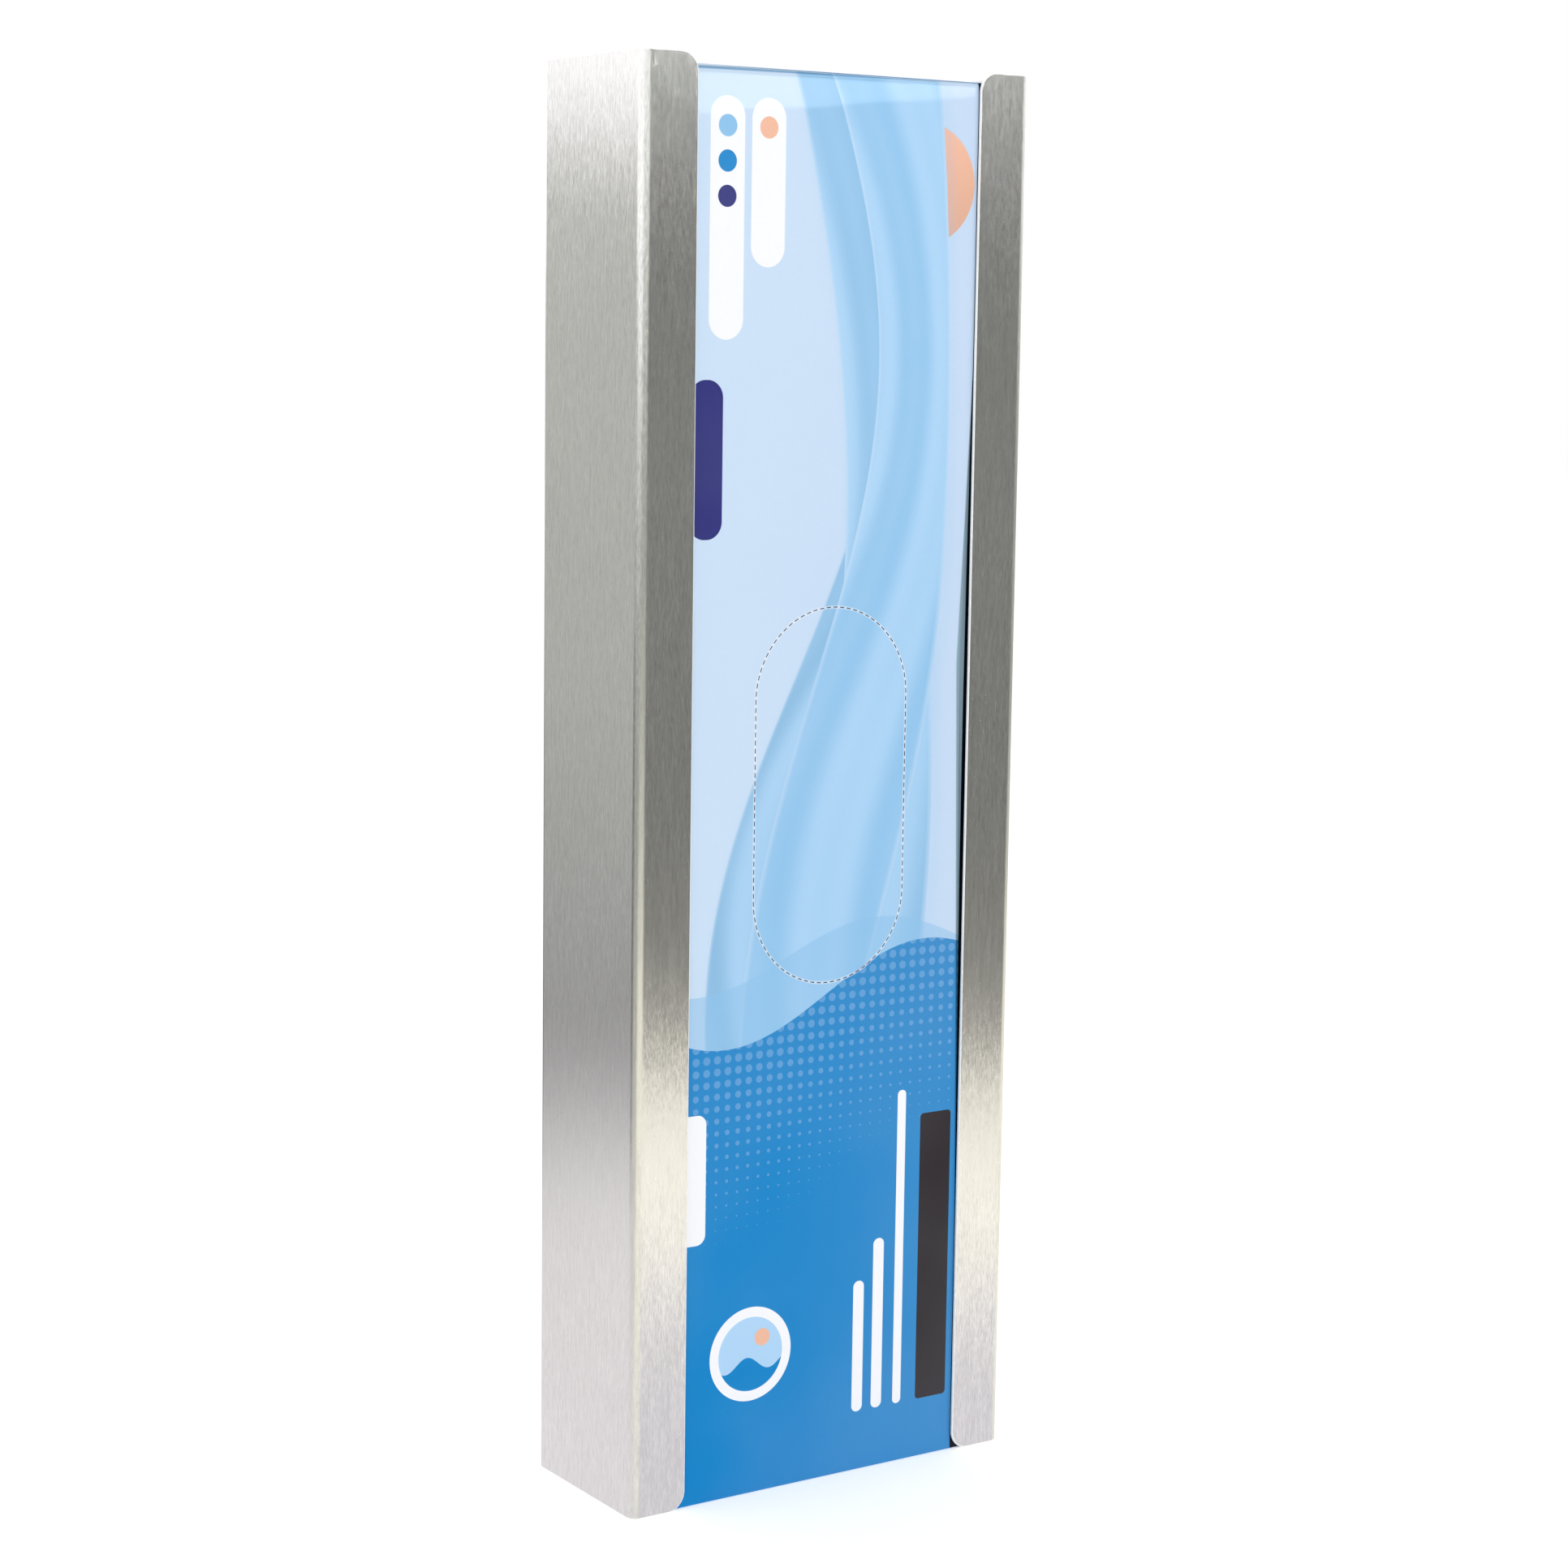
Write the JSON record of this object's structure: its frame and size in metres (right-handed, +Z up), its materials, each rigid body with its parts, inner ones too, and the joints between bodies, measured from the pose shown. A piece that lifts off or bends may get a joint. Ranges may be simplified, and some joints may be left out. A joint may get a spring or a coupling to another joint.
{
  "type": "disposable glove dispenser",
  "caption": "Upright wall channel of folded steel with narrow front lips, holding a long sealed carton of disposable gloves with a tear-out oval.",
  "frame": {"origin": "centre of the footprint, on the surface that the dispenser stands on", "axes": "+X to the right seen from the front, +Y to the back, towards the wall, +Z up along the channel"},
  "size_m": [0.1312, 0.0544, 0.41],
  "materials": {
    "brushed_stainless": "fine upright brush lines, satin",
    "printed_carton": "glossy coated print in light and mid blue"
  },
  "bodies": {
    "root": {"steel_channel": "brushed_stainless", "glove_carton": "printed_carton"}
  },
  "joints": []
}
